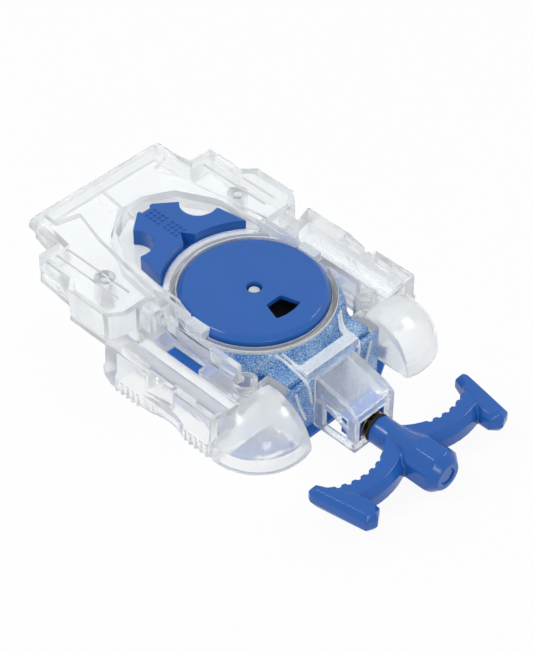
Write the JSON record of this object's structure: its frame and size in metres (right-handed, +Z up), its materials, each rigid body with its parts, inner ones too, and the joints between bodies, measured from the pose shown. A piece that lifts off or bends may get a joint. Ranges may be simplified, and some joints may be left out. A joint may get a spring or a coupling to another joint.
{
  "type": "spinning top launcher",
  "caption": "Pull-string launcher for spinning tops: a clear casing round a blue cover and thumb selector, with a geared string drum, launch prongs below and a T-handle on the string.",
  "frame": {"origin": "on the drum axis, in the plane of the table that the base rim stands on", "axes": "+Z up along the drum axis, +Y to the rear of the casing, so that the handle is pulled along -Y, +X to the casing's right side"},
  "size_m": [0.0862, 0.1435, 0.0325],
  "materials": {
    "clear_plastic": "clear, glossy moulding",
    "frosted_plastic": "clear, with a fine sparkling texture",
    "blue_plastic": "satin gloss",
    "white_acetal": "low-friction moulding",
    "dark_plastic": "matt",
    "brass": "turned, bright",
    "rubber": "matt",
    "steel": "bright",
    "cord": "braided string",
    "felt": "felt"
  },
  "bodies": {
    "case": {"upper_case": "clear_plastic", "rear_tray": "clear_plastic", "base_plate": "blue_plastic", "inner_housing": "blue_plastic", "front_deck": "frosted_plastic", "nozzle": "clear_plastic", "left_grip": "clear_plastic", "right_grip": "clear_plastic", "left_fender": "clear_plastic", "right_fender": "clear_plastic", "round_cover": "blue_plastic", "string_guide": "blue_plastic", "eyelet": "brass", "planet_carrier": "dark_plastic", "drag_washer": "felt", "case_screws": "steel", "mainspring": "steel"},
    "drum": {"string_drum": "white_acetal", "string_core": "cord", "string_winding": "cord"},
    "planet_a": {"planet_gear_a": "white_acetal"},
    "planet_b": {"planet_gear_b": "white_acetal"},
    "planet_c": {"planet_gear_c": "white_acetal"},
    "head": {"spindle": "white_acetal", "sun_gear": "white_acetal", "launch_head": "dark_plastic"},
    "selector": {"selector": "blue_plastic"},
    "lock_bar": {"lock_bar": "steel"},
    "handle": {"handle": "blue_plastic", "bumper_ring": "rubber", "end_plug": "blue_plastic", "string_lead": "cord"}
  },
  "joints": [
    {"name": "drum_spin", "type": "hinge", "parent": "case", "child": "drum", "pos_m": [0, 0, 0.013], "axis": [0, 0, 1], "range_deg": [0, 1785], "stiffness_Nm_per_rad": 0.0008, "springref_deg": -229.18, "deforming": ["mainspring"]},
    {"name": "string_pull", "type": "slide", "parent": "case", "child": "handle", "axis": [0, -1, 0], "range_m": [0, 0.5], "deforming": ["string_lead"]},
    {"name": "planet_a_spin", "type": "hinge", "parent": "case", "child": "planet_a", "pos_m": [0, 0.01125, 0.0187], "axis": [0, 0, 1], "range_deg": [0, 6250]},
    {"name": "planet_b_spin", "type": "hinge", "parent": "case", "child": "planet_b", "pos_m": [-0.00974, -0.00562, 0.0187], "axis": [0, 0, 1], "range_deg": [0, 6250]},
    {"name": "planet_c_spin", "type": "hinge", "parent": "case", "child": "planet_c", "pos_m": [0.00974, -0.00562, 0.0187], "axis": [0, 0, 1], "range_deg": [0, 6250]},
    {"name": "head_spin", "type": "hinge", "parent": "case", "child": "head", "pos_m": [0, 0, 0.013], "axis": [0, 0, 1], "range_deg": [-4170, 0]},
    {"name": "selector_swing", "type": "hinge", "parent": "case", "child": "selector", "pos_m": [0, 0, 0.029], "axis": [0, 0, 1], "range_deg": [-5, 5]},
    {"name": "lock_slide", "type": "slide", "parent": "case", "child": "lock_bar", "axis": [0, 1, 0], "range_m": [-0.00131, 0.00131]}
  ],
  "couplings": [
    {"joint": "drum_spin", "follows": "string_pull", "rad_per_m": 62.305},
    {"joint": "planet_a_spin", "follows": "string_pull", "rad_per_m": 218.07},
    {"joint": "planet_b_spin", "follows": "string_pull", "rad_per_m": 218.07},
    {"joint": "planet_c_spin", "follows": "string_pull", "rad_per_m": 218.07},
    {"joint": "head_spin", "follows": "string_pull", "rad_per_m": -145.38},
    {"joint": "lock_slide", "follows": "selector_swing", "m_per_rad": -0.014897}
  ]
}
